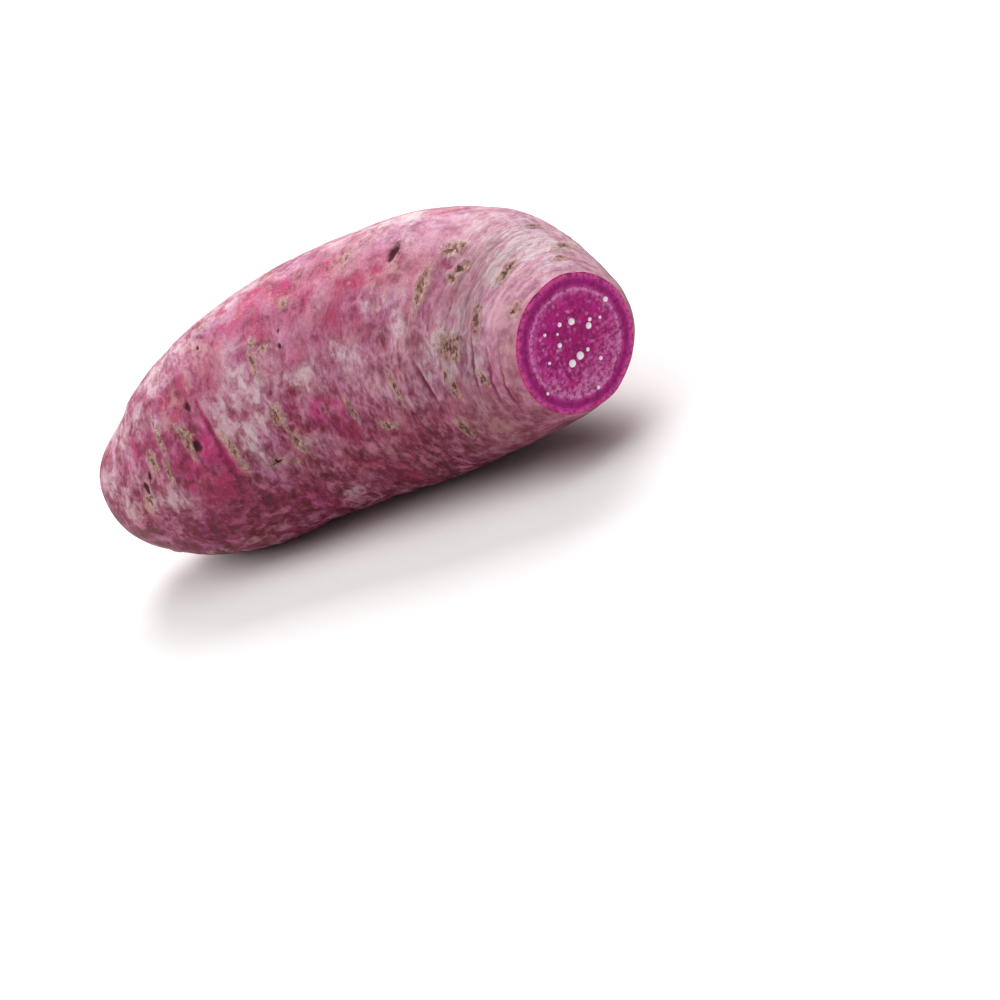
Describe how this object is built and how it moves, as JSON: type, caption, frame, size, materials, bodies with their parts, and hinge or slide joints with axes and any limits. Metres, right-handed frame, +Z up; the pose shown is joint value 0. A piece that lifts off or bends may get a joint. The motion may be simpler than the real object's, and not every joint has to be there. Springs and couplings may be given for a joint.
{
  "type": "purple sweet potato",
  "caption": "Purple-fleshed sweet potato lying on its side, plump and gently bent, with one end sliced off square to show the flesh.",
  "frame": {"origin": "on the surface that the tuber lies on, under the middle of its box", "axes": "+Z up, +X along the tuber from the root tip to the cut end, -Y towards the inside of its bend"},
  "size_m": [0.1432, 0.0717, 0.0634],
  "materials": {
    "skin": "matte"
  },
  "bodies": {
    "root": {"tuber": "skin"}
  },
  "joints": []
}
